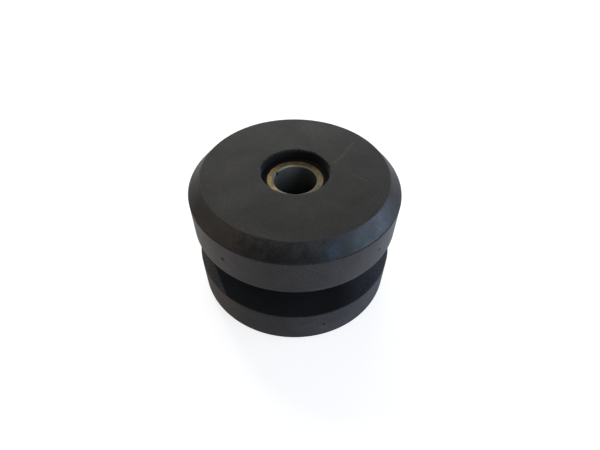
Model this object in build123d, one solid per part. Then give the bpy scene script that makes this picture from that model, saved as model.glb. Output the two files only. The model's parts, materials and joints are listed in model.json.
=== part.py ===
"""Bobbin vibration mount: a moulded rubber spool bonded to a steel sleeve.

The frame has +Z up along the bore, with the origin at the middle of the bottom face.
A bolt passes through the sleeve, and the supporting plate sits in the groove between
the two flanges. The rubber stands proud of the sleeve at both ends, so that washers
squeeze it before they meet the steel. All sizes are in millimetres and degrees.
"""

from build123d import *
from math import cos, radians, sin
import os

# Rubber spool: both flanges are alike, and the bottom mirrors the top.
flange_diameter = 100.0
flange_thickness = 25.5
groove_width = 20.0
neck_diameter = 64.0
rim_bevel_width = 6.2
rim_bevel_height = 6.9
counterbore_diameter = 32.2
counterbore_depth = 4.8

# Rounding that the mould leaves on the rubber.
edge_round = 0.4
counterbore_floor_round = 0.8
groove_root_round = 2.5

# Steel sleeve, cut from tube.
sleeve_diameter = 26.9
sleeve_wall = 3.2
bore_bevel = 0.8
sleeve_edge_bevel = 0.3

# Shallow pits that the mould's vents leave halfway up each flange's outer band.
# Angles run anticlockwise from +X, seen from above.
vent_pit_diameter = 1.8
vent_pit_depth = 0.5
top_vent_angles = (-127.5, -42.7)
bottom_vent_angles = (-73.8,)

# Worked out from the sizes above.
overall_height = 2 * flange_thickness + groove_width
flange_radius = flange_diameter / 2
neck_radius = neck_diameter / 2
counterbore_radius = counterbore_diameter / 2
sleeve_radius = sleeve_diameter / 2
bore_radius = sleeve_radius - sleeve_wall
sleeve_bottom = counterbore_depth
sleeve_top = overall_height - counterbore_depth
band_middle = (rim_bevel_height + flange_thickness) / 2


def turned(outline):
    """Turns a closed outline of (radius, height, corner round) points about the Z axis."""
    points = [(radius, 0, height) for radius, height, _ in outline]
    rounds = [corner for _, _, corner in outline]
    profile = make_face(FilletPolyline(*points, radius=rounds, close=True))
    return revolve(profile, axis=Axis.Z)


def flange_outline():
    """One flange from the sleeve out to the neck, with heights measured in from its end face."""
    return [
        (sleeve_radius, counterbore_depth, 0),
        (counterbore_radius, counterbore_depth, counterbore_floor_round),
        (counterbore_radius, 0, edge_round),
        (flange_radius - rim_bevel_width, 0, edge_round),
        (flange_radius, rim_bevel_height, edge_round),
        (flange_radius, flange_thickness, edge_round),
        (neck_radius, flange_thickness, groove_root_round),
    ]


def vent_pit(angle, height):
    """A ball whose cap cuts one shallow round pit into the outer band."""
    half_width = vent_pit_diameter / 2
    ball_radius = (half_width**2 + vent_pit_depth**2) / (2 * vent_pit_depth)
    reach = flange_radius + ball_radius - vent_pit_depth
    centre = (reach * cos(radians(angle)), reach * sin(radians(angle)), height)
    return Pos(*centre) * Sphere(ball_radius)


def rubber_spool():
    """The whole rubber moulding, with its groove, counterbores and vent pits."""
    bottom = flange_outline()
    top = [(radius, overall_height - height, corner) for radius, height, corner in bottom]
    spool = turned(bottom + top[::-1])
    for angle in bottom_vent_angles:
        spool -= vent_pit(angle, band_middle)
    for angle in top_vent_angles:
        spool -= vent_pit(angle, overall_height - band_middle)
    return spool


def steel_sleeve():
    """The tube that the rubber is bonded to, bevelled at both ends of its bore."""
    end = [
        (bore_radius, bore_bevel, 0),
        (bore_radius + bore_bevel, 0, 0),
        (sleeve_radius - sleeve_edge_bevel, 0, 0),
        (sleeve_radius, sleeve_edge_bevel, 0),
    ]
    bottom = [(radius, sleeve_bottom + height, corner) for radius, height, corner in end]
    top = [(radius, sleeve_top - height, corner) for radius, height, corner in end]
    return turned(bottom + top[::-1])


os.makedirs("parts", exist_ok=True)
export_step(rubber_spool(), "parts/rubber_spool.step")
export_step(steel_sleeve(), "parts/steel_sleeve.step")
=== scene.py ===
"""Bobbin vibration mount, dressed: a moulded rubber spool bonded to a plain steel sleeve.

Both pieces are lathed in Geometry Nodes from a half outline that is mirrored top to bottom.
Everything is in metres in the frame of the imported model: +Z up along the bore, with the
origin at the middle of the bottom face. Sizes and colours are properties, and each piece
and the stage has an operator of its own.
"""

import json
from math import cos, pi, radians, sin
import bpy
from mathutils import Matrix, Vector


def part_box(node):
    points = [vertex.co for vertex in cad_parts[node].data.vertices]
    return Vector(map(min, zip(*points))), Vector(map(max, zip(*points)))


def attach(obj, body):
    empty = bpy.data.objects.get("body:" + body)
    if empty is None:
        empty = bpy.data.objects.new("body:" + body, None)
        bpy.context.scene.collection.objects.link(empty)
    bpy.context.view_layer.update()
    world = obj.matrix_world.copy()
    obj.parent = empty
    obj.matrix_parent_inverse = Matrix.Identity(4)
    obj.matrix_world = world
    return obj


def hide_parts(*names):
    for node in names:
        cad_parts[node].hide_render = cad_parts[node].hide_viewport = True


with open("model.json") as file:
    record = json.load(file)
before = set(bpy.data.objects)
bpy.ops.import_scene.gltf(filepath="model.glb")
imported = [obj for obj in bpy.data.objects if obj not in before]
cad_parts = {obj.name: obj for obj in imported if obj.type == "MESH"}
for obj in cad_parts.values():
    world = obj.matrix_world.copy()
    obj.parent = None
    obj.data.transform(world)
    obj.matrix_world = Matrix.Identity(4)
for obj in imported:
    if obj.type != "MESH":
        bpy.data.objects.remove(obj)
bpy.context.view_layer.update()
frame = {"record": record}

from types import SimpleNamespace

import bmesh
import bpy
from bpy.props import FloatProperty, FloatVectorProperty, PointerProperty
from mathutils import Matrix, Vector

bl_info = {
    "name": "Bobbin Vibration Mount",
    "version": (1, 0, 0),
    "blender": (4, 5, 0),
    "location": "3D View > Sidebar > Mount",
    "description": "Builds a rubber bobbin mount with its steel sleeve, and a plain studio round it",
    "category": "Add Mesh",
}

MM = 0.001

MOUNTS = {mount["name"]: mount for mount in frame["record"]["mounts"]}
SPOOL_LOW, SPOOL_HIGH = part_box("rubber_spool")
SLEEVE_LOW, SLEEVE_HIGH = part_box("steel_sleeve")
HEIGHT = SPOOL_HIGH[2]


def linear(hex_colour):
    """An sRGB colour such as "#44423f" as the linear red, green and blue that Blender works in."""
    parts = [int(hex_colour[i:i + 2], 16) / 255 for i in (1, 3, 5)]
    return [c / 12.92 if c <= 0.04045 else ((c + 0.055) / 1.055) ** 2.4 for c in parts]


def opaque(colour):
    """A colour with the full alpha that a colour socket takes."""
    return tuple(colour) + (1.0,)


def add_node(tree, kind, inputs=None, **settings):
    """Adds a node with its settings. Each input is a value, or the output that it is linked to."""
    node = tree.nodes.new(kind)
    for name, value in settings.items():
        setattr(node, name, value)
    for key, value in (inputs or {}).items():
        if isinstance(value, bpy.types.NodeSocket):
            tree.links.new(value, node.inputs[key])
        else:
            node.inputs[key].default_value = value
    return node


# ---------------------------------------------------------------- settings


class RubberSpoolSettings(bpy.types.PropertyGroup):
    """Sizes and colours of the moulded rubber."""

    flange_diameter: FloatProperty(
        name="Flange diameter", description="Across the two flanges",
        default=SPOOL_HIGH[0] - SPOOL_LOW[0], min=0.02, unit="LENGTH")
    flange_thickness: FloatProperty(
        name="Flange thickness", description="Height of each flange",
        default=25.5 * MM, min=0.002, unit="LENGTH")
    groove_width: FloatProperty(
        name="Groove width", description="Gap between the flanges, where the plate sits",
        default=HEIGHT - 51 * MM, min=0.001, unit="LENGTH")
    neck_diameter: FloatProperty(
        name="Neck diameter", description="Across the neck between the flanges",
        default=64 * MM, min=0.01, unit="LENGTH")
    bevel_width: FloatProperty(
        name="Bevel width", description="How far the rim's bevel reaches in across the face",
        default=6.2 * MM, min=0, unit="LENGTH")
    bevel_height: FloatProperty(
        name="Bevel height", description="How far the rim's bevel reaches along the side",
        default=6.9 * MM, min=0, unit="LENGTH")
    counterbore_diameter: FloatProperty(
        name="Counterbore diameter", description="Across the recess round each end of the sleeve",
        default=2 * MM * MOUNTS["top_counterbore"]["dims"]["r_mm"], min=0.005, unit="LENGTH")
    counterbore_depth: FloatProperty(
        name="Counterbore depth", description="From the face down to the end of the sleeve",
        default=SLEEVE_LOW[2], min=0, unit="LENGTH")
    edge_round: FloatProperty(
        name="Edge round", description="Rounding that the mould leaves on outer edges",
        default=0.4 * MM, min=0, unit="LENGTH")
    root_round: FloatProperty(
        name="Root round", description="Rounding where the neck runs into the flanges",
        default=2.5 * MM, min=0, unit="LENGTH")
    rim_wear: FloatProperty(
        name="Rim wear", description="How far crumbs are torn from the counterbore's rim",
        default=0.4 * MM, min=0, unit="LENGTH")
    pit_diameter: FloatProperty(
        name="Pit diameter", description="Across each vent pit in the flanges' outer bands",
        default=2.0 * MM, min=0.0002, unit="LENGTH")
    pit_depth: FloatProperty(
        name="Pit depth", description="Depth of each vent pit",
        default=0.4 * MM, min=0, unit="LENGTH")
    seam_depth: FloatProperty(
        name="Seam depth", description="Depth of the mould's seam line where the bevel meets the band",
        default=0.36 * MM, min=0, unit="LENGTH")
    bloom_colour: FloatVectorProperty(
        name="Bloom colour", description="Dusty face where wax has come out of the rubber",
        default=linear("#292825"), size=3, min=0, max=1, subtype="COLOR")
    band_colour: FloatVectorProperty(
        name="Band colour", description="Outer bands of the flanges",
        default=linear("#312e2e"), size=3, min=0, max=1, subtype="COLOR")
    bare_colour: FloatVectorProperty(
        name="Bare colour", description="Rubbed bevels",
        default=linear("#1c1b1a"), size=3, min=0, max=1, subtype="COLOR")


class SteelSleeveSettings(bpy.types.PropertyGroup):
    """Sizes and colours of the tube inside the rubber."""

    outer_diameter: FloatProperty(
        name="Outer diameter", description="Across the outside of the tube",
        default=SLEEVE_HIGH[0] - SLEEVE_LOW[0], min=0.004, unit="LENGTH")
    bore_diameter: FloatProperty(
        name="Bore diameter", description="Across the hole that the bolt goes through",
        default=2 * MM * MOUNTS["sleeve_bore"]["dims"]["r_mm"], min=0.002, unit="LENGTH")
    bore_bevel: FloatProperty(
        name="Bore bevel", description="Bevel cut at each mouth of the bore",
        default=0.8 * MM, min=0, unit="LENGTH")
    edge_bevel: FloatProperty(
        name="Edge bevel", description="Bevel on the tube's outer edges",
        default=0.3 * MM, min=0, unit="LENGTH")
    film_colour: FloatVectorProperty(
        name="Film colour", description="Bonding film left on the cut ends",
        default=linear("#6e5f3d"), size=3, min=0, max=1, subtype="COLOR")
    steel_colour: FloatVectorProperty(
        name="Steel colour", description="Bare cut steel of the lip",
        default=linear("#a69f84"), size=3, min=0, max=1, subtype="COLOR")


class MountStageSettings(bpy.types.PropertyGroup):
    """Camera, lamps and floor."""

    lens: FloatProperty(
        name="Lens", description="Camera's focal length on a 36 mm sensor, in millimetres",
        default=24.49, min=10, max=200)
    key_power: FloatProperty(
        name="Key power", description="Lamp behind the left shoulder of the part",
        default=0.42, min=0, unit="POWER")
    side_power: FloatProperty(
        name="Side power", description="Large cool lamp at the right",
        default=5.0, min=0, unit="POWER")
    warm_power: FloatProperty(
        name="Warm power", description="Long warm lamp at the left",
        default=1.0, min=0, unit="POWER")
    back_power: FloatProperty(
        name="Back power", description="Long lamp behind the part, like a window",
        default=3.6, min=0, unit="POWER")
    front_power: FloatProperty(
        name="Front power", description="Weak cool lamp above the right shoulder of the camera",
        default=0.5, min=0, unit="POWER")
    surround: FloatProperty(
        name="Surround", description="Strength of the even light from all round",
        default=0.23, min=0, max=2)
    floor_colour: FloatVectorProperty(
        name="Floor colour", description="Pale floor under the part",
        default=linear("#a6a6a6"), size=3, min=0, max=1, subtype="COLOR")


# ---------------------------------------------------------------- lathe


def turned_shell(tree, radii, heights, rounds, spacing, segments):
    """Lathes a closed outline, mirrored about half its height, and gives the mesh output.

    radii, heights and rounds say where the lower half's corners are and how they are
    rounded, from the inside wall out and on to the middle. The last value of heights is
    the full height that the mirror image is measured from.
    """
    half = len(radii)
    index = add_node(tree, "GeometryNodeInputIndex").outputs[0]
    mirrored = add_node(tree, "ShaderNodeMath", {0: 2.0 * half - 1, 1: index}, operation="SUBTRACT")
    corner = add_node(tree, "ShaderNodeMath", {0: index, 1: mirrored.outputs[0]}, operation="MINIMUM")
    chosen = []
    for values in (radii, heights[:half], rounds):
        switch = add_node(tree, "GeometryNodeIndexSwitch", data_type="FLOAT")
        while len(switch.index_switch_items) < half:
            switch.index_switch_items.new()
        tree.links.new(corner.outputs[0], switch.inputs[0])
        for i, value in enumerate(values):
            if isinstance(value, bpy.types.NodeSocket):
                tree.links.new(value, switch.inputs[i + 1])
            else:
                switch.inputs[i + 1].default_value = value
        chosen.append(switch.outputs[0])
    radius, height, rounding = chosen
    flipped = add_node(tree, "ShaderNodeMath", {0: heights[half], 1: height}, operation="SUBTRACT")
    upper = add_node(tree, "ShaderNodeMath", {0: index, 1: half - 0.5}, operation="GREATER_THAN")
    level = add_node(tree, "GeometryNodeSwitch", {0: upper.outputs[0], 1: height, 2: flipped.outputs[0]},
                     input_type="FLOAT")
    sunk = add_node(tree, "ShaderNodeMath", {0: level.outputs[0], 1: -1.0}, operation="MULTIPLY")
    out = add_node(tree, "ShaderNodeMath", {0: radius, 1: radii[0]}, operation="SUBTRACT")
    place = add_node(tree, "ShaderNodeCombineXYZ", {0: out.outputs[0], 1: sunk.outputs[0]})
    points = add_node(tree, "GeometryNodePoints", {"Count": 2 * half, "Position": place.outputs[0]})
    outline = add_node(tree, "GeometryNodePointsToCurves", {"Points": points.outputs[0]})
    straight = add_node(tree, "GeometryNodeCurveSplineType", {"Curve": outline.outputs[0]},
                        spline_type="POLY")
    closed = add_node(tree, "GeometryNodeSetSplineCyclic",
                      {"Geometry": straight.outputs[0], "Cyclic": True})
    rounded = add_node(tree, "GeometryNodeFilletCurve",
                       {"Curve": closed.outputs[0], "Radius": rounding, "Count": 5}, mode="POLY")
    # Long runs get a point at least every `spacing`, so that wear has something to move.
    count = add_node(tree, "GeometryNodeAttributeDomainSize", {0: rounded.outputs[0]}, component="CURVE")
    here = add_node(tree, "GeometryNodeInputPosition").outputs[0]
    after = add_node(tree, "ShaderNodeMath", {0: index, 1: 1.0}, operation="ADD")
    wrapped = add_node(tree, "ShaderNodeMath", {0: after.outputs[0], 1: count.outputs["Point Count"]},
                       operation="FLOORED_MODULO")
    there = add_node(tree, "GeometryNodeFieldAtIndex", {"Index": wrapped.outputs[0], "Value": here},
                     data_type="FLOAT_VECTOR", domain="POINT")
    run = add_node(tree, "ShaderNodeVectorMath", {0: here, 1: there.outputs[0]}, operation="DISTANCE")
    steps = add_node(tree, "ShaderNodeMath", {0: run.outputs["Value"], 1: spacing}, operation="DIVIDE")
    whole = add_node(tree, "ShaderNodeMath", {0: steps.outputs[0]}, operation="FLOOR")
    divided = add_node(tree, "GeometryNodeSubdivideCurve",
                       {"Curve": rounded.outputs[0], "Cuts": whole.outputs[0]})
    ring = add_node(tree, "GeometryNodeCurvePrimitiveCircle",
                    {"Resolution": segments, "Radius": radii[0]}, mode="RADIUS")
    swept = add_node(tree, "GeometryNodeCurveToMesh",
                     {"Curve": ring.outputs[0], "Profile Curve": divided.outputs[0]})
    outwards = add_node(tree, "GeometryNodeFlipFaces", {0: swept.outputs[0]})
    return outwards.outputs[0]


def new_tree(name, sizes):
    """A Geometry Nodes tree with a geometry in and out and these named inputs."""
    tree = bpy.data.node_groups.new(name, "GeometryNodeTree")
    tree.interface.new_socket("Geometry", in_out="INPUT", socket_type="NodeSocketGeometry")
    tree.interface.new_socket("Geometry", in_out="OUTPUT", socket_type="NodeSocketGeometry")
    for label, value in sizes.items():
        whole = isinstance(value, int)
        socket = tree.interface.new_socket(
            label, in_out="INPUT", socket_type="NodeSocketInt" if whole else "NodeSocketFloat")
        if not whole:
            socket.subtype = "DISTANCE"
        socket.default_value = value
    return tree


def grown(name, tree, sizes, material):
    """Runs tree on an empty mesh with its inputs set to sizes, and gives the plain mesh piece."""
    holder = bpy.data.objects.new(name + "_nodes", bpy.data.meshes.new(name + "_nodes"))
    bpy.context.scene.collection.objects.link(holder)
    modifier = holder.modifiers.new("Turned", "NODES")
    modifier.node_group = tree
    for item in tree.interface.items_tree:
        if item.in_out == "INPUT" and item.name in sizes:
            modifier[item.identifier] = sizes[item.name]
    holder.update_tag()
    seen = holder.evaluated_get(bpy.context.evaluated_depsgraph_get())
    mesh = bpy.data.meshes.new_from_object(seen)
    bpy.data.objects.remove(holder)
    if not mesh.polygons:
        raise RuntimeError(name + ": the node tree made no faces")
    mesh.name = name
    mesh.materials.clear()
    mesh.materials.append(material)
    piece = bpy.data.objects.new(name, mesh)
    bpy.context.scene.collection.objects.link(piece)
    return piece


# ---------------------------------------------------------------- materials


def blank_material(name):
    """A new material with an empty node tree."""
    material = bpy.data.materials.new(name)
    material.use_nodes = True
    material.node_tree.nodes.clear()
    return material


def whereabouts(tree):
    """Outputs that say where a point is: its spot, its axes, its spot without the height, its
    reach from the bore's axis and how far it is off the middle of the height."""
    spot = add_node(tree, "ShaderNodeTexCoord").outputs["Object"]
    axes = add_node(tree, "ShaderNodeSeparateXYZ", {0: spot}).outputs
    flat = add_node(tree, "ShaderNodeCombineXYZ", {0: axes[0], 1: axes[1]}).outputs[0]
    reach = add_node(tree, "ShaderNodeVectorMath", {0: flat}, operation="LENGTH").outputs["Value"]
    above = add_node(tree, "ShaderNodeMath", {0: axes[2], 1: HEIGHT / 2}, operation="SUBTRACT").outputs[0]
    off_middle = add_node(tree, "ShaderNodeMath", {0: above}, operation="ABSOLUTE").outputs[0]
    return SimpleNamespace(spot=spot, axes=axes, flat=flat, reach=reach, off_middle=off_middle)


# ---------------------------------------------------------------- rubber

# How far apart the lumps of the uneven faces and the crumbs of the worn rim are.
SWELL_SIZE = 22.2 * MM
CRUMB_SIZE = 1.0 * MM

# Vent pits: (angle in degrees anticlockwise from +X, upper flange or not, share of the diameter).
VENT_PITS = ((-127.5, True, 1.1), (-42.7, True, 1.0), (-73.8, False, 0.9))


# The seam's notch where the bevel meets the band, 0.5 mm across: its edge on the bevel, its floor
# and its edge on the band, each as millimetres in from the band and along from the bevel's end.
SEAM_CORNERS = ((0.3, -0.33), (0.12, -0.02), (0.0, 0.2))


def spool_tree(sizes, material):
    """The moulded spool: lathed, a little uneven, with a worn recess rim."""
    tree = new_tree("Moulded rubber spool", sizes)
    given = add_node(tree, "NodeGroupInput").outputs
    rim_in = add_node(tree, "ShaderNodeMath", {0: given["Flange radius"], 1: given["Bevel width"]},
                      operation="SUBTRACT").outputs[0]
    full = add_node(tree, "ShaderNodeMath",
                    {0: given["Flange thickness"], 1: 2.0, 2: given["Groove width"]},
                    operation="MULTIPLY_ADD").outputs[0]
    # Only the seam's floor goes in by the seam's depth; its two edges lie on the bevel and the band.
    seam_bottom = add_node(tree, "ShaderNodeMath", {0: given["Flange radius"], 1: given["Seam depth"]},
                           operation="SUBTRACT").outputs[0]
    seam_from = (given["Flange radius"], seam_bottom, given["Flange radius"])
    seam_radii = [add_node(tree, "ShaderNodeMath", {0: radius, 1: inside * MM},
                           operation="SUBTRACT").outputs[0]
                  for radius, (inside, along) in zip(seam_from, SEAM_CORNERS)]
    seam_heights = [add_node(tree, "ShaderNodeMath", {0: given["Bevel height"], 1: along * MM},
                             operation="ADD").outputs[0]
                    for inside, along in SEAM_CORNERS]
    shell = turned_shell(
        tree,
        radii=[given["Sleeve radius"], given["Counterbore radius"], given["Counterbore radius"],
               rim_in, *seam_radii, given["Flange radius"], given["Neck radius"]],
        heights=[given["Counterbore depth"], given["Counterbore depth"], 0.0, 0.0, *seam_heights,
                 given["Flange thickness"], given["Flange thickness"], full],
        rounds=[0.0, 0.8 * MM, given["Edge round"], given["Edge round"], 0.08 * MM, 0.03 * MM,
                0.12 * MM, given["Edge round"], given["Root round"]],
        spacing=given["Spacing"], segments=given["Segments"])

    # Cooling leaves the faces very slightly uneven, always inwards of the mould's wall.
    normal = add_node(tree, "GeometryNodeInputNormal").outputs[0]
    swell = add_node(tree, "ShaderNodeTexNoise", {"Scale": 1 / SWELL_SIZE, "Detail": 2.0})
    depth = add_node(tree, "ShaderNodeMath", {0: swell.outputs[0], 1: -0.12 * MM}, operation="MULTIPLY")
    sunk = add_node(tree, "ShaderNodeVectorMath", {0: normal, "Scale": depth.outputs[0]},
                    operation="SCALE")
    uneven = add_node(tree, "GeometryNodeSetPosition", {"Geometry": shell, "Offset": sunk.outputs[0]})

    # Crumbs torn from the recess's rim: only where the noise peaks, and on its back half.
    place = add_node(tree, "GeometryNodeInputPosition").outputs[0]
    axes = add_node(tree, "ShaderNodeSeparateXYZ", {0: place}).outputs
    flat = add_node(tree, "ShaderNodeCombineXYZ", {0: axes[0], 1: axes[1]}).outputs[0]
    reach = add_node(tree, "ShaderNodeVectorMath", {0: flat}, operation="LENGTH").outputs["Value"]
    outward = add_node(tree, "ShaderNodeVectorMath", {0: flat}, operation="NORMALIZE").outputs[0]
    off_rim = add_node(tree, "ShaderNodeMath", {0: reach, 1: given["Counterbore radius"]},
                       operation="SUBTRACT").outputs[0]
    far = add_node(tree, "ShaderNodeMath", {0: off_rim}, operation="ABSOLUTE").outputs[0]
    near = add_node(tree, "ShaderNodeMapRange", {0: far, 1: 0.3 * MM, 2: 1.1 * MM, 3: 1.0, 4: 0.0},
                    interpolation_type="SMOOTHSTEP").outputs[0]
    top_gap = add_node(tree, "ShaderNodeMath", {0: full, 1: axes[2]}, operation="SUBTRACT").outputs[0]
    end_gap = add_node(tree, "ShaderNodeMath", {0: top_gap, 1: axes[2]}, operation="MINIMUM").outputs[0]
    shallow = add_node(tree, "ShaderNodeMapRange", {0: end_gap, 1: 0.2 * MM, 2: 1.3 * MM, 3: 1.0, 4: 0.0},
                       interpolation_type="SMOOTHSTEP").outputs[0]
    crumbs = add_node(tree, "ShaderNodeTexNoise",
                      {"Scale": 1 / CRUMB_SIZE, "Detail": 2.0, "Roughness": 0.6})
    torn = add_node(tree, "ShaderNodeMapRange", {0: crumbs.outputs[0], 1: 0.46, 2: 0.62, 3: 0.0, 4: 1.0},
                    interpolation_type="SMOOTHSTEP").outputs[0]
    behind = add_node(tree, "ShaderNodeMapRange", {0: axes[1], 1: -8 * MM, 2: 0.0}).outputs[0]
    bite = given["Rim wear"]
    for share in (near, shallow, torn, behind):
        bite = add_node(tree, "ShaderNodeMath", {0: bite, 1: share}, operation="MULTIPLY").outputs[0]
    pushed = add_node(tree, "ShaderNodeVectorMath", {0: outward, "Scale": bite}, operation="SCALE")
    worn = add_node(tree, "GeometryNodeSetPosition",
                    {"Geometry": uneven.outputs[0], "Offset": pushed.outputs[0]})

    smooth = add_node(tree, "GeometryNodeSetShadeSmooth", {"Geometry": worn.outputs[0]})
    real = add_node(tree, "GeometryNodeRealizeInstances", {0: smooth.outputs[0]})
    painted = add_node(tree, "GeometryNodeSetMaterial", {"Geometry": real.outputs[0], "Material": material})
    add_node(tree, "NodeGroupOutput", {0: painted.outputs[0]})
    return tree


def press(mesh, spot, inwards, radius, depth):
    """Presses a rounded hollow with a flat floor into a bmesh at spot, with finer faces there."""
    for reach, cuts in ((2.2, 2), (1.4, 2)):
        near = [edge for edge in mesh.edges
                if ((edge.verts[0].co + edge.verts[1].co) / 2 - spot).length < radius * reach]
        bmesh.ops.subdivide_edges(mesh, edges=near, cuts=cuts, use_grid_fill=True)
    for vert in mesh.verts:
        away = (vert.co - spot).length / radius
        if away < 1:
            vert.co += inwards * depth * (1 - away ** 2.5) ** 0.7


def press_all(piece, hollows):
    """Presses every hollow (spot, inwards, radius, depth) into the piece."""
    mesh = bmesh.new()
    mesh.from_mesh(piece.data)
    for hollow in hollows:
        press(mesh, *hollow)
    for face in mesh.faces:
        face.smooth = True
    mesh.to_mesh(piece.data)
    mesh.free()


def pit_hollows(settings):
    """The vent pits' places on the bands: each one halfway up the band, pointing at the axis."""
    low = (settings.bevel_height + settings.flange_thickness) / 2
    for angle, upper, scale in VENT_PITS:
        out = Vector((cos(radians(angle)), sin(radians(angle)), 0))
        spot = out * settings.flange_diameter / 2 + Vector((0, 0, HEIGHT - low if upper else low))
        yield spot, -out, settings.pit_diameter / 2 * scale, settings.pit_depth


# How far apart the patterns in the rubber repeat: clouds of bloom, handling marks, smears on the
# bevel and the moulded grain. The grain is drawn coarser than the real one, so that it shows.
CLOUD_SIZE = 18.2 * MM
HANDLING_SIZE = 38.5 * MM
SMEAR_SIZE = 5.0 * MM
GRAIN_SIZE = 0.555 * MM

# Light drag marks on the upper face, in millimetres: start, end and width.
DRAG_MARKS = (
    ((17.8, 6.0), (22.0, 10.8), 1.1),
    ((22.0, 10.8), (28.8, 22.4), 1.2),
    ((26.0, -2.6), (32.4, -6.8), 0.5),
)

# Patches on the rubbed bevel, in millimetres: middle, radius, colour and strength. The brown
# patch and the two small dark ones at the front are stains; the big black patch at the left is
# painted shade, and the three blue-green patches at the right are a painted bluish sheen.
STAINS_AND_PAINTED_LIGHT = (
    ((-25.5, -40.5, 67.0), 8.0, "#302a28", 0.45),
    # Painted shade: darkens the left of the bevel.
    ((-41.0, -26.0, 65.5), 15.0, "#080906", 1.0),
    ((-5.0, -47.6, 66.2), 8.0, "#0c0b08", 0.85),
    ((6.4, -47.8, 66.0), 4.5, "#0d0d12", 0.75),
    # Painted sheen, this and the next two: bluish light on the right of the bevel.
    ((15.5, -45.2, 66.8), 5.0, "#2a3d4b", 0.55),
    ((27.6, -39.4, 66.8), 6.0, "#30423f", 0.5),
    ((36.0, -27.0, 68.0), 9.0, "#202b2c", 0.5),
)

# Painted shade: near black on the neck and in the recesses, where little light gets in. And the pale scrape
# of a drag mark.
SHADE_BLACK = linear("#050505")
SCRAPE = linear("#6a6862")

# Painted light on the groove's ledge: painted shade at the front, under the upper flange, a
# painted cool light at the right, and a painted lit sliver at the left, out past a straight edge
# (the edge of the upper flange's shadow) that faces SLIVER_SIDE at SLIVER_EDGE from the axis.
LEDGE_FRONT_SHADE = linear("#131212")
LEDGE_RIGHT_LIGHT = linear("#3c3f46")
LEDGE_LIT_SLIVER = linear("#44423f")
SLIVER_SIDE = (-0.915, -0.403, 0.0)
SLIVER_EDGE = 44.6 * MM


def rubber_zones(tree, settings, at, drift):
    """Shares from 0 to 1 that tell the faces, bevels, bands, groove and recesses apart."""
    half = HEIGHT / 2
    flange_radius = settings.flange_diameter / 2
    rim_radius = flange_radius - settings.bevel_width
    recess_radius = settings.counterbore_diameter / 2
    strayed = add_node(tree, "ShaderNodeMath", {0: at.reach, 1: drift}, operation="ADD").outputs[0]
    on_end = add_node(tree, "ShaderNodeMapRange",
                      {0: at.off_middle, 1: half - 1.3 * MM, 2: half - 0.2 * MM}).outputs[0]
    inside_rim = add_node(tree, "ShaderNodeMapRange",
                          {0: strayed, 1: rim_radius - 0.6 * MM, 2: rim_radius + 1.2 * MM,
                           3: 1.0, 4: 0.0}).outputs[0]
    slanted = add_node(tree, "ShaderNodeMapRange",
                       {0: at.off_middle, 1: half - settings.bevel_height - 0.4 * MM,
                        2: half - settings.bevel_height}).outputs[0]
    past_rim = add_node(tree, "ShaderNodeMapRange",
                        {0: at.reach, 1: rim_radius - 0.5 * MM, 2: rim_radius + 0.3 * MM}).outputs[0]
    face = add_node(tree, "ShaderNodeMath", {0: on_end, 1: inside_rim}, operation="MULTIPLY")
    bevel = add_node(tree, "ShaderNodeMath", {0: slanted, 1: past_rim}, operation="MULTIPLY")
    band = add_node(tree, "ShaderNodeMapRange",
                    {0: at.reach, 1: flange_radius - 0.45 * MM, 2: flange_radius - 0.15 * MM})
    past_groove = add_node(tree, "ShaderNodeMapRange",
                           {0: at.off_middle, 1: settings.groove_width / 2 + 0.3 * MM,
                            2: settings.groove_width / 2 + 0.6 * MM})
    past_recess = add_node(tree, "ShaderNodeMapRange",
                           {0: at.reach, 1: recess_radius - 0.1 * MM, 2: recess_radius + 0.5 * MM})
    return SimpleNamespace(face=face.outputs[0], bevel=bevel.outputs[0], band=band.outputs[0],
                           past_groove=past_groove.outputs[0], past_recess=past_recess.outputs[0])


def groove_colour(tree, settings, at):
    """The neck is painted near black as shade. The ledge carries painted light: shade at the front, cool
    light at the right and a lit sliver at the left.
    """
    on_ledge = add_node(tree, "ShaderNodeMapRange",
                        {0: at.off_middle, 1: settings.groove_width / 2 - 1.0 * MM,
                         2: settings.groove_width / 2 - 0.1 * MM}).outputs[0]
    leftward = add_node(tree, "ShaderNodeVectorMath", {0: at.flat, 1: SLIVER_SIDE},
                        operation="DOT_PRODUCT").outputs["Value"]
    in_sliver = add_node(tree, "ShaderNodeMapRange",
                         {0: leftward, 1: SLIVER_EDGE, 2: SLIVER_EDGE + 0.7 * MM}).outputs[0]
    at_right = add_node(tree, "ShaderNodeMapRange", {0: at.axes[0], 1: 20 * MM, 2: 46 * MM}).outputs[0]
    # Painted shade at the front, painted cool light toward the right.
    ledge = add_node(tree, "ShaderNodeMix",
                     {0: at_right, 6: opaque(LEDGE_FRONT_SHADE), 7: opaque(LEDGE_RIGHT_LIGHT)},
                     data_type="RGBA").outputs[2]
    # Painted light: the lit sliver at the left.
    painted_light_ledge = add_node(tree, "ShaderNodeMix", {0: in_sliver, 6: ledge, 7: opaque(LEDGE_LIT_SLIVER)},
                           data_type="RGBA").outputs[2]
    return add_node(tree, "ShaderNodeMix", {0: on_ledge, 6: opaque(SHADE_BLACK), 7: painted_light_ledge},
                    data_type="RGBA").outputs[2]


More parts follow.
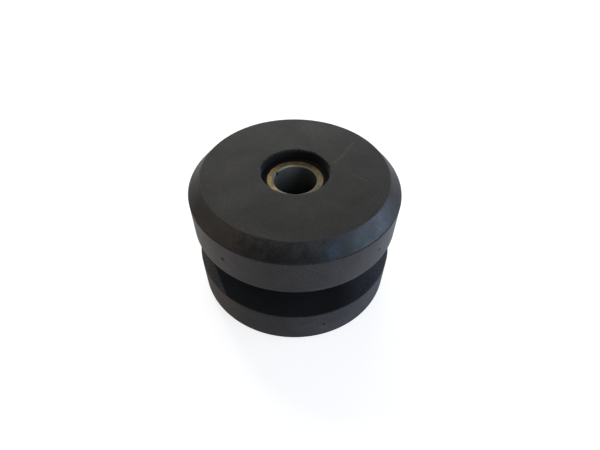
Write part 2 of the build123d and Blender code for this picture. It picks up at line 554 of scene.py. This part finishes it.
def bevel_colour(tree, settings, at, drift, smears):
    """Bare rubber, paler toward the face, mottled by smears and stained in places. Painted shade darkens
    the left of the bevel, and a painted bluish sheen lies on its right.
    """
    flange_radius = settings.flange_diameter / 2
    across = add_node(tree, "ShaderNodeMapRange",
                      {0: at.reach, 1: flange_radius - settings.bevel_width + 0.5 * MM,
                       2: flange_radius - 0.8 * MM, 3: 1.5, 4: 0.6}).outputs[0]
    mottled = add_node(tree, "ShaderNodeMapRange",
                       {0: smears, 1: 0.32, 2: 0.68, 3: 0.45, 4: 1.6}).outputs[0]
    shade = add_node(tree, "ShaderNodeMath", {0: across, 1: mottled}, operation="MULTIPLY").outputs[0]
    colour = add_node(tree, "ShaderNodeVectorMath", {0: tuple(settings.bare_colour), "Scale": shade},
                      operation="SCALE").outputs[0]
    for middle, radius, patch_tone, strength in STAINS_AND_PAINTED_LIGHT:
        away = add_node(tree, "ShaderNodeVectorMath", {0: at.spot, 1: Vector(middle) * MM},
                        operation="DISTANCE").outputs["Value"]
        ragged = add_node(tree, "ShaderNodeMath", {0: drift, 1: 2.2, 2: away},
                          operation="MULTIPLY_ADD").outputs[0]
        patch_share = add_node(tree, "ShaderNodeMapRange",
                           {0: ragged, 1: 0.1 * radius * MM, 2: radius * MM, 3: strength, 4: 0.0},
                           interpolation_type="SMOOTHSTEP").outputs[0]
        colour = add_node(tree, "ShaderNodeMix", {0: patch_share, 6: colour, 7: opaque(linear(patch_tone))},
                          data_type="RGBA").outputs[2]
    return colour


def band_colour(tree, settings, at):
    """The bands grow paler round toward the left and, on the upper one, the right: a painted sheen, where
    the bands catch light at a grazing angle.
    """
    upper = add_node(tree, "ShaderNodeMath", {0: at.axes[2], 1: HEIGHT / 2},
                     operation="GREATER_THAN").outputs[0]
    rightward = add_node(tree, "ShaderNodeMath", {0: at.axes[0], 1: upper},
                         operation="MULTIPLY").outputs[0]
    leftward = add_node(tree, "ShaderNodeMath", {0: at.axes[0], 1: -1.0}, operation="MULTIPLY").outputs[0]
    sideways = add_node(tree, "ShaderNodeMath", {0: rightward, 1: leftward},
                        operation="MAXIMUM").outputs[0]
    # Painted sheen: the band's colour grows up to 1.75 times paler toward its sides.
    pale = add_node(tree, "ShaderNodeMapRange",
                    {0: sideways, 1: 24 * MM, 2: 46 * MM, 3: 1.0, 4: 1.75}).outputs[0]
    return add_node(tree, "ShaderNodeVectorMath", {0: tuple(settings.band_colour), "Scale": pale},
                    operation="SCALE").outputs[0]


def drag_mark_share(tree, at, grain):
    """How much of a drag mark shows: nearness to the nearest stroke, broken up by the grain."""
    nearness = 0.0
    for start, end, width in DRAG_MARKS:
        origin = Vector((start[0] * MM, start[1] * MM, HEIGHT))
        stroke = Vector((end[0] - start[0], end[1] - start[1], 0)) * MM
        offset = add_node(tree, "ShaderNodeVectorMath", {0: at.spot, 1: origin},
                          operation="SUBTRACT").outputs[0]
        share = add_node(tree, "ShaderNodeVectorMath", {0: offset, 1: stroke / stroke.length_squared},
                         operation="DOT_PRODUCT").outputs["Value"]
        along = add_node(tree, "ShaderNodeClamp", {0: share}).outputs[0]
        foot = add_node(tree, "ShaderNodeVectorMath", {0: tuple(stroke), "Scale": along},
                        operation="SCALE").outputs[0]
        gap = add_node(tree, "ShaderNodeVectorMath", {0: offset, 1: foot},
                       operation="DISTANCE").outputs["Value"]
        touch = add_node(tree, "ShaderNodeMapRange",
                         {0: gap, 1: 0.0, 2: width * MM, 3: 1.0, 4: 0.0}).outputs[0]
        nearness = add_node(tree, "ShaderNodeMath", {0: nearness, 1: touch},
                            operation="MAXIMUM").outputs[0]
    patchy = add_node(tree, "ShaderNodeMapRange",
                      {0: grain, 1: 0.4, 2: 0.6, 3: 0.04, 4: 0.24}).outputs[0]
    return add_node(tree, "ShaderNodeMath", {0: nearness, 1: patchy}, operation="MULTIPLY").outputs[0]


def rubber_roughness(tree, settings, at, zones, smears, grain):
    """Dusty faces, the groove and the recess scatter all light; the rubbed bevel keeps a soft
    highlight, and the upper band, which is handled most, shines a little at its ends."""
    polish = add_node(tree, "ShaderNodeMapRange",
                      {0: smears, 1: 0.32, 2: 0.68, 3: 0.4, 4: 0.62}).outputs[0]
    handled = add_node(tree, "ShaderNodeMapRange",
                       {0: at.axes[2], 1: settings.flange_thickness,
                        2: HEIGHT - settings.flange_thickness, 3: 0.7, 4: 0.44}).outputs[0]
    rough = 0.82
    for share, smoother in ((zones.band, handled), (zones.bevel, polish)):
        rough = add_node(tree, "ShaderNodeMix", {0: share, 2: rough, 3: smoother}).outputs[0]
    for share, duller in ((zones.past_recess, 1.0), (zones.past_groove, 0.9)):
        rough = add_node(tree, "ShaderNodeMix", {0: share, 2: duller, 3: rough}).outputs[0]
    open_grain = add_node(tree, "ShaderNodeMapRange",
                          {0: grain, 1: 0.35, 2: 0.65, 3: -0.05, 4: 0.05}).outputs[0]
    return add_node(tree, "ShaderNodeMath", {0: rough, 1: open_grain}, operation="ADD").outputs[0]


def moulded_black_rubber(settings):
    """Moulded black rubber, bloomed. The flat faces are dusty and matt, with a grain. The bevel
    is rubbed darker and closed, so it holds a soft sheen. The groove and the recesses are painted
    near black as shade, with painted light and shade on the groove's ledge."""
    material = blank_material("moulded_black_rubber")
    tree = material.node_tree
    at = whereabouts(tree)
    clouds = add_node(tree, "ShaderNodeTexNoise",
                      {"Vector": at.spot, "Scale": 1 / CLOUD_SIZE, "Detail": 6.0, "Roughness": 0.62,
                       "Distortion": 0.5}).outputs[0]
    handling = add_node(tree, "ShaderNodeTexNoise",
                        {"Vector": at.spot, "Scale": 1 / HANDLING_SIZE, "Detail": 3.0,
                         "Distortion": 1.2}).outputs[0]
    smears = add_node(tree, "ShaderNodeTexNoise",
                      {"Vector": at.spot, "Scale": 1 / SMEAR_SIZE, "Detail": 5.0,
                       "Roughness": 0.65}).outputs[0]
    grain = add_node(tree, "ShaderNodeTexNoise",
                     {"Vector": at.spot, "Scale": 1 / GRAIN_SIZE, "Detail": 2.0,
                      "Roughness": 0.5}).outputs[0]
    # The clouds also make the borders of the bloom and of the bevel's patches wander.
    drift = add_node(tree, "ShaderNodeMapRange",
                     {0: clouds, 1: 0.3, 2: 0.7, 3: -0.7 * MM, 4: 0.7 * MM}).outputs[0]
    zones = rubber_zones(tree, settings, at, drift)

    # From the deepest zone out: the groove, the bevels, the recesses, the bands and the faces.
    flanks = add_node(tree, "ShaderNodeMix",
                      {0: zones.past_groove, 6: groove_colour(tree, settings, at),
                       7: bevel_colour(tree, settings, at, drift, smears)}, data_type="RGBA").outputs[2]
    # Painted shade: the recesses are near black.
    bare = add_node(tree, "ShaderNodeMix", {0: zones.past_recess, 6: opaque(SHADE_BLACK), 7: flanks},
                    data_type="RGBA").outputs[2]
    banded = add_node(tree, "ShaderNodeMix", {0: zones.band, 6: bare, 7: band_colour(tree, settings, at)},
                      data_type="RGBA").outputs[2]
    bloomed = add_node(tree, "ShaderNodeMix", {0: zones.face, 6: banded, 7: opaque(settings.bloom_colour)},
                       data_type="RGBA").outputs[2]
    shade = 1.0
    for pattern, darkest, lightest in ((clouds, 0.72, 1.28), (grain, 0.4, 1.7), (handling, 0.76, 1.24)):
        strength = add_node(tree, "ShaderNodeMapRange",
                            {0: pattern, 1: 0.3, 2: 0.7, 3: darkest, 4: lightest}).outputs[0]
        shade = add_node(tree, "ShaderNodeMath", {0: shade, 1: strength}, operation="MULTIPLY").outputs[0]
    shaded = add_node(tree, "ShaderNodeVectorMath", {0: bloomed, "Scale": shade},
                      operation="SCALE").outputs[0]
    marked = add_node(tree, "ShaderNodeMix",
                      {0: drag_mark_share(tree, at, grain), 6: shaded, 7: opaque(SCRAPE)},
                      data_type="RGBA").outputs[2]

    rough = rubber_roughness(tree, settings, at, zones, smears, grain)
    lumps = add_node(tree, "ShaderNodeBump", {"Strength": 0.5, "Distance": 0.08 * MM, "Height": grain})
    shader = add_node(tree, "ShaderNodeBsdfPrincipled",
                      {"Base Color": marked, "Roughness": rough, "IOR": 1.52,
                       "Specular IOR Level": 0.3, "Sheen Weight": 0.13,
                       "Sheen Roughness": 0.35, "Normal": lumps.outputs[0]})
    add_node(tree, "ShaderNodeOutputMaterial", {0: shader.outputs[0]})
    return material


class BOBBIN_MOUNT_OT_rubber_spool(bpy.types.Operator):
    """Lathe the rubber spool and let it stand for the CAD solid"""

    bl_idname = "bobbin_mount.rubber_spool"
    bl_label = "Rubber Spool"

    def execute(self, context):
        s = context.scene.rubber_spool
        sizes = {
            "Flange radius": s.flange_diameter / 2,
            "Flange thickness": s.flange_thickness,
            "Groove width": s.groove_width,
            "Neck radius": s.neck_diameter / 2,
            "Bevel width": s.bevel_width,
            "Bevel height": s.bevel_height,
            "Counterbore radius": s.counterbore_diameter / 2,
            "Counterbore depth": s.counterbore_depth,
            "Sleeve radius": context.scene.steel_sleeve.outer_diameter / 2,
            "Edge round": s.edge_round,
            "Root round": s.root_round,
            "Rim wear": s.rim_wear,
            "Seam depth": s.seam_depth,
            "Spacing": 1.3 * MM,
            "Segments": 288,
        }
        material = moulded_black_rubber(s)
        piece = grown("rubber_spool_moulding", spool_tree(sizes, material), sizes, material)
        press_all(piece, pit_hollows(s))
        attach(piece, "root")
        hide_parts("rubber_spool")
        return {"FINISHED"}


# ---------------------------------------------------------------- sleeve


def sleeve_tree(sizes, material):
    """The cut length of tube: lathed, with bevelled mouths and softened edges."""
    tree = new_tree("Steel sleeve", sizes)
    given = add_node(tree, "NodeGroupInput").outputs
    lip = add_node(tree, "ShaderNodeMath", {0: given["Bore radius"], 1: given["Bore bevel"]},
                   operation="ADD").outputs[0]
    edge = add_node(tree, "ShaderNodeMath", {0: given["Outer radius"], 1: given["Edge bevel"]},
                    operation="SUBTRACT").outputs[0]
    shell = turned_shell(
        tree,
        radii=[given["Bore radius"], lip, edge, given["Outer radius"]],
        heights=[given["Bore bevel"], 0.0, 0.0, given["Edge bevel"], given["Length"]],
        rounds=[0.15 * MM, 0.12 * MM, 0.1 * MM, 0.1 * MM],
        spacing=given["Spacing"], segments=given["Segments"])
    lifted = add_node(tree, "GeometryNodeTransform",
                      {"Geometry": shell, "Translation": (0.0, 0.0, SLEEVE_LOW[2])})
    smooth = add_node(tree, "GeometryNodeSetShadeSmooth", {"Geometry": lifted.outputs[0]})
    real = add_node(tree, "GeometryNodeRealizeInstances", {0: smooth.outputs[0]})
    painted = add_node(tree, "GeometryNodeSetMaterial", {"Geometry": real.outputs[0], "Material": material})
    add_node(tree, "NodeGroupOutput", {0: painted.outputs[0]})
    return tree


# A nick in the bore's wall, just under the lip, in millimetres.
NICK_SPOT = (-9.0, 5.2, 64.6)
NICK_RADIUS = 0.9
NICK_DEPTH = 0.4

# How far apart the blotches in the film and the drawing lines round the bore are, and how far
# such a line runs before it changes.
BLOTCH_SIZE = 3.85 * MM
LINE_SPACING = 0.4 * MM
LINE_RUN = 8.33 * MM

# Painted colours: the film's far side, dark brown as painted shade from the recess's wall; the
# bore's wall on its painted shaded side, and on its painted lit side.
SHADED_FILM = linear("#574620")
SHADED_SIDE_STEEL = linear("#857d6b")
LIT_SIDE_STEEL = linear("#a9b2b4")


def bonding_film(tree, settings, at, blotch):
    """The film is blotchy. It is painted palest at the left, where light falls on it, and painted dark
    brown at the far side as shade from the recess's wall.
    """
    # Painted shade: the far side turns dark brown.
    far_side_shade = add_node(tree, "ShaderNodeMapRange", {0: at.axes[1], 1: 5 * MM, 2: 12 * MM},
                      interpolation_type="SMOOTHSTEP").outputs[0]
    tone = add_node(tree, "ShaderNodeMix",
                    {0: far_side_shade, 6: opaque(settings.film_colour), 7: opaque(SHADED_FILM)},
                    data_type="RGBA").outputs[2]
    patch_tone = add_node(tree, "ShaderNodeMapRange",
                     {0: blotch, 1: 0.35, 2: 0.65, 3: 0.35, 4: 1.45}).outputs[0]
    # Painted light: the film grows up to 1.85 times paler toward the left.
    pale = add_node(tree, "ShaderNodeMapRange",
                    {0: at.axes[0], 1: -12 * MM, 2: 2 * MM, 3: 1.85, 4: 1.05}).outputs[0]
    shade = add_node(tree, "ShaderNodeMath", {0: patch_tone, 1: pale}, operation="MULTIPLY").outputs[0]
    return add_node(tree, "ShaderNodeVectorMath", {0: tone, "Scale": shade}, operation="SCALE").outputs[0]


def bare_steel(tree, settings, at):
    """The lip is bare. Inside, the wall has drawing lines round it. It is painted darker with depth,
    as shade, and painted brownish and dark on the side away from the light, pale and bluish on the side
    that faces it."""
    mouth = SLEEVE_HIGH[2] - HEIGHT / 2
    bore_radius = settings.bore_diameter / 2
    squashed = add_node(tree, "ShaderNodeVectorMath",
                        {0: at.spot, 1: (1 / LINE_RUN, 1 / LINE_RUN, 1 / LINE_SPACING)},
                        operation="MULTIPLY").outputs[0]
    lines = add_node(tree, "ShaderNodeTexNoise",
                     {"Vector": squashed, "Scale": 1.0, "Detail": 3.0, "Roughness": 0.6}).outputs[0]
    streak = add_node(tree, "ShaderNodeMapRange",
                      {0: lines, 1: 0.3, 2: 0.7, 3: 0.75, 4: 1.1}).outputs[0]
    # Painted shade: the wall darkens to a tenth with depth.
    lit = add_node(tree, "ShaderNodeMapRange",
                   {0: at.off_middle, 1: mouth - 20 * MM, 2: mouth - 1 * MM, 3: 0.1, 4: 1.0}).outputs[0]
    # Painted light: toward the lit side this comes to 0.95 on the wall at the mouth, and falls with depth.
    facing = add_node(tree, "ShaderNodeVectorMath", {0: at.flat, 1: (-75.0, 55.0, 0.0)},
                      operation="DOT_PRODUCT").outputs["Value"]
    below = add_node(tree, "ShaderNodeMath", {0: mouth, 1: at.off_middle}, operation="SUBTRACT").outputs[0]
    lit_side_reach = add_node(tree, "ShaderNodeMath", {0: below, 1: -35.0, 2: facing},
                       operation="MULTIPLY_ADD").outputs[0]
    lit_side = add_node(tree, "ShaderNodeMapRange", {0: lit_side_reach, 1: 0.0, 2: 0.95, 3: 0.6, 4: 1.9},
                     interpolation_type="SMOOTHSTEP").outputs[0]
    wall = add_node(tree, "ShaderNodeMath", {0: lit, 1: lit_side}, operation="MULTIPLY").outputs[0]
    on_lip = add_node(tree, "ShaderNodeMapRange",
                      {0: at.reach, 1: bore_radius + 0.05 * MM, 2: bore_radius + 0.2 * MM}).outputs[0]
    from_nick = add_node(tree, "ShaderNodeVectorMath", {0: at.spot, 1: Vector(NICK_SPOT) * MM},
                         operation="DISTANCE").outputs["Value"]
    # Painted shade: the nick is darkened to a twentieth of the wall's colour.
    nick_shade = add_node(tree, "ShaderNodeMapRange",
                      {0: from_nick, 1: NICK_RADIUS * MM, 2: 1.4 * NICK_RADIUS * MM,
                       3: 0.05, 4: 1.0}).outputs[0]
    bright = add_node(tree, "ShaderNodeMix", {0: on_lip, 2: wall, 3: 1.0}).outputs[0]
    for share in (nick_shade, streak):
        bright = add_node(tree, "ShaderNodeMath", {0: bright, 1: share}, operation="MULTIPLY").outputs[0]
    wall_tint = add_node(tree, "ShaderNodeMix",
                         {0: lit_side, 6: opaque(SHADED_SIDE_STEEL), 7: opaque(LIT_SIDE_STEEL)},
                         data_type="RGBA").outputs[2]
    tint = add_node(tree, "ShaderNodeMix", {0: on_lip, 6: wall_tint, 7: opaque(settings.steel_colour)},
                    data_type="RGBA").outputs[2]
    return add_node(tree, "ShaderNodeVectorMath", {0: tint, "Scale": bright}, operation="SCALE").outputs[0]


def cut_steel_tube(settings):
    """Cut steel tube with a tan bonding film on its ends. The film is dull and blotchy; the
    bevelled lip and the bore are bare, grey and smooth enough to streak with light."""
    material = blank_material("cut_steel_tube")
    tree = material.node_tree
    at = whereabouts(tree)
    blotch = add_node(tree, "ShaderNodeTexNoise",
                      {"Vector": at.spot, "Scale": 1 / BLOTCH_SIZE, "Detail": 4.0,
                       "Roughness": 0.65}).outputs[0]
    # The film ends in a frayed line on the lip.
    lip_radius = settings.bore_diameter / 2 + settings.bore_bevel
    edge = add_node(tree, "ShaderNodeMapRange",
                    {0: blotch, 1: 0.3, 2: 0.7, 3: -0.25 * MM, 4: 0.25 * MM}).outputs[0]
    frayed = add_node(tree, "ShaderNodeMath", {0: at.reach, 1: edge}, operation="ADD").outputs[0]
    filmed = add_node(tree, "ShaderNodeMapRange",
                      {0: frayed, 1: lip_radius - 0.5 * MM, 2: lip_radius - 0.15 * MM}).outputs[0]
    colour = add_node(tree, "ShaderNodeMix",
                      {0: filmed, 6: bare_steel(tree, settings, at),
                       7: bonding_film(tree, settings, at, blotch)}, data_type="RGBA").outputs[2]
    metal = add_node(tree, "ShaderNodeMix", {0: filmed, 2: 0.7, 3: 0.2}).outputs[0]
    rough = add_node(tree, "ShaderNodeMix", {0: filmed, 2: 0.48, 3: 0.6}).outputs[0]
    lumps = add_node(tree, "ShaderNodeBump", {"Strength": 0.4, "Distance": 0.04 * MM, "Height": blotch})
    shader = add_node(tree, "ShaderNodeBsdfPrincipled",
                      {"Base Color": colour, "Metallic": metal, "Roughness": rough,
                       "Normal": lumps.outputs[0]})
    add_node(tree, "ShaderNodeOutputMaterial", {0: shader.outputs[0]})
    return material


class BOBBIN_MOUNT_OT_steel_sleeve(bpy.types.Operator):
    """Lathe the steel sleeve and let it stand for the CAD solid"""

    bl_idname = "bobbin_mount.steel_sleeve"
    bl_label = "Steel Sleeve"

    def execute(self, context):
        s = context.scene.steel_sleeve
        sizes = {
            "Outer radius": s.outer_diameter / 2,
            "Bore radius": s.bore_diameter / 2,
            "Bore bevel": s.bore_bevel,
            "Edge bevel": s.edge_bevel,
            "Length": SLEEVE_HIGH[2] - SLEEVE_LOW[2],
            "Spacing": 1.2 * MM,
            "Segments": 192,
        }
        material = cut_steel_tube(s)
        piece = grown("steel_sleeve_tube", sleeve_tree(sizes, material), sizes, material)
        spot = Vector(NICK_SPOT) * MM
        off_axis = Vector((spot.x, spot.y, 0)).normalized()
        press_all(piece, [(spot, off_axis, NICK_RADIUS * MM, NICK_DEPTH * MM)])
        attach(piece, "root")
        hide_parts("steel_sleeve")
        return {"FINISHED"}


# ---------------------------------------------------------------- stage


FLOOR_REACH = 6.0

# How much the eye and a reflection see the floor glow; neither lights the part.
SEEN_GLOW = 0.8
MIRRORED_GLOW = 0.24

# Lamps: name, setting of its power, place, what it faces, width and height, and colour. The key
# lamp is small, so that the upper flange throws a clear shadow into the groove.
LAMPS = (
    ("key_lamp", "key_power", (-0.1632, 0.1784, 0.4505), (0, 0, HEIGHT), (0.05, 0.05), "#fff3e4"),
    ("cool_side_lamp", "side_power", (0.62, -0.20, 0.13), (0, 0, 0.04), (0.7, 0.22), "#c8dfff"),
    ("warm_side_lamp", "warm_power", (-0.57, -0.15, 0.03), (0, 0, 0.03), (0.5, 0.10), "#ffe2c8"),
    ("back_lamp", "back_power", (-0.05, 0.62, 0.30), (0, 0, 0.05), (0.7, 0.3), "#ffffff"),
    ("front_lamp", "front_power", (0.22, -0.34, 0.62), (0, 0, HEIGHT), (0.3, 0.3), "#dfe9ff"),
)

# The camera stands this far from the middle of the upper face, at this angle above it. From
# there it turns a little to the right, downwards and about its own line of sight, in degrees.
CAMERA_DISTANCE = 0.1902
CAMERA_RISE = 38.673
CAMERA_TURNS = (("Y", -0.715), ("X", -7.590), ("Z", 0.470))


def studio_floor(settings):
    """Matt white board. The eye sees it white, and it still darkens under the part."""
    material = blank_material("matt_white_board")
    tree = material.node_tree
    rays = add_node(tree, "ShaderNodeLightPath").outputs
    board = add_node(tree, "ShaderNodeBsdfDiffuse", {"Color": opaque(settings.floor_colour)})
    mirrored = add_node(tree, "ShaderNodeMath", {0: rays["Is Glossy Ray"], 1: MIRRORED_GLOW},
                        operation="MULTIPLY").outputs[0]
    lift = add_node(tree, "ShaderNodeMath", {0: rays["Is Camera Ray"], 1: SEEN_GLOW, 2: mirrored},
                    operation="MULTIPLY_ADD").outputs[0]
    glow = add_node(tree, "ShaderNodeEmission", {"Strength": lift})
    both = add_node(tree, "ShaderNodeAddShader", {0: board.outputs[0], 1: glow.outputs[0]})
    add_node(tree, "ShaderNodeOutputMaterial", {0: both.outputs[0]})
    return material


def even_surround(strength):
    """Even light from all round. The eye sees it white."""
    world = bpy.data.worlds.new("even_surround")
    world.use_nodes = True
    tree = world.node_tree
    tree.nodes.clear()
    rays = add_node(tree, "ShaderNodeLightPath").outputs
    seen = add_node(tree, "ShaderNodeMath", {0: rays["Is Camera Ray"], 1: rays["Is Transmission Ray"]},
                    operation="MAXIMUM").outputs[0]
    power = add_node(tree, "ShaderNodeMix", {0: seen, 2: strength, 3: 1.0}).outputs[0]
    glow = add_node(tree, "ShaderNodeBackground", {"Color": (1, 1, 1, 1), "Strength": power})
    add_node(tree, "ShaderNodeOutputWorld", {0: glow.outputs[0]})
    return world


def area_lamp(name, place, aim, size, power, colour):
    """A soft lamp of that width and height at place, facing aim."""
    lamp = bpy.data.lights.new(name, "AREA")
    lamp.shape = "RECTANGLE"
    lamp.size, lamp.size_y = size
    lamp.energy = power
    lamp.color = linear(colour)
    holder = bpy.data.objects.new(name, lamp)
    place = Vector(place)
    turn = (Vector(aim) - place).to_track_quat("-Z", "Y")
    holder.matrix_world = Matrix.Translation(place) @ turn.to_matrix().to_4x4()
    bpy.context.scene.collection.objects.link(holder)


def studio_camera(focal_length):
    """The camera, in front of the part and above it."""
    lens = bpy.data.cameras.new("camera")
    lens.sensor_width = 36
    lens.lens = focal_length
    lens.clip_start = 0.01
    lens.clip_end = 50
    camera = bpy.data.objects.new("camera", lens)
    rise = radians(CAMERA_RISE)
    stand = Vector((0, 0, HEIGHT)) + Vector((0, -cos(rise), sin(rise))) * CAMERA_DISTANCE
    place = Matrix.Translation(stand) @ Matrix.Rotation(pi / 2 - rise, 4, "X")
    for axis, degrees in CAMERA_TURNS:
        place = place @ Matrix.Rotation(radians(degrees), 4, axis)
    camera.matrix_world = place
    bpy.context.scene.collection.objects.link(camera)
    return camera


class BOBBIN_MOUNT_OT_stage(bpy.types.Operator):
    """Set the floor, the lamps, the surroundings and the camera"""

    bl_idname = "bobbin_mount.stage"
    bl_label = "Stage"

    def execute(self, context):
        s = context.scene.mount_stage
        scene = context.scene

        mesh = bpy.data.meshes.new("floor_board")
        corners = [(-1, -1), (1, -1), (1, 1), (-1, 1)]
        mesh.from_pydata([(x * FLOOR_REACH, y * FLOOR_REACH, 0) for x, y in corners],
                         [], [(0, 1, 2, 3)])
        mesh.materials.append(studio_floor(s))
        floor = bpy.data.objects.new("floor_board", mesh)
        scene.collection.objects.link(floor)

        for name, setting, place, aim, size, colour in LAMPS:
            area_lamp(name, place, aim, size, getattr(s, setting), colour)
        scene.world = even_surround(s.surround)
        scene.camera = studio_camera(s.lens)
        scene.view_settings.view_transform = "Standard"
        return {"FINISHED"}


# ---------------------------------------------------------------- panel and registration


class BOBBIN_MOUNT_PT_panel(bpy.types.Panel):
    """Lists the pieces and their settings"""

    bl_idname = "BOBBIN_MOUNT_PT_panel"
    bl_label = "Bobbin Mount"
    bl_space_type = "VIEW_3D"
    bl_region_type = "UI"
    bl_category = "Mount"

    def draw(self, context):
        for operator, settings in (
            (BOBBIN_MOUNT_OT_rubber_spool, context.scene.rubber_spool),
            (BOBBIN_MOUNT_OT_steel_sleeve, context.scene.steel_sleeve),
            (BOBBIN_MOUNT_OT_stage, context.scene.mount_stage),
        ):
            box = self.layout.box()
            box.operator(operator.bl_idname)
            for name in settings.__annotations__:
                box.prop(settings, name)


SETTINGS = (
    ("rubber_spool", RubberSpoolSettings),
    ("steel_sleeve", SteelSleeveSettings),
    ("mount_stage", MountStageSettings),
)
OPERATORS = (BOBBIN_MOUNT_OT_rubber_spool, BOBBIN_MOUNT_OT_steel_sleeve, BOBBIN_MOUNT_OT_stage)


def register():
    for name, group in SETTINGS:
        bpy.utils.register_class(group)
        setattr(bpy.types.Scene, name, PointerProperty(type=group))
    for operator in OPERATORS:
        bpy.utils.register_class(operator)
    bpy.utils.register_class(BOBBIN_MOUNT_PT_panel)


def unregister():
    bpy.utils.unregister_class(BOBBIN_MOUNT_PT_panel)
    for operator in reversed(OPERATORS):
        bpy.utils.unregister_class(operator)
    for name, group in reversed(SETTINGS):
        delattr(bpy.types.Scene, name)
        bpy.utils.unregister_class(group)


def main():
    register()
    bpy.ops.bobbin_mount.rubber_spool()
    bpy.ops.bobbin_mount.steel_sleeve()
    bpy.ops.bobbin_mount.stage()


if __name__ == "__main__":
    main()
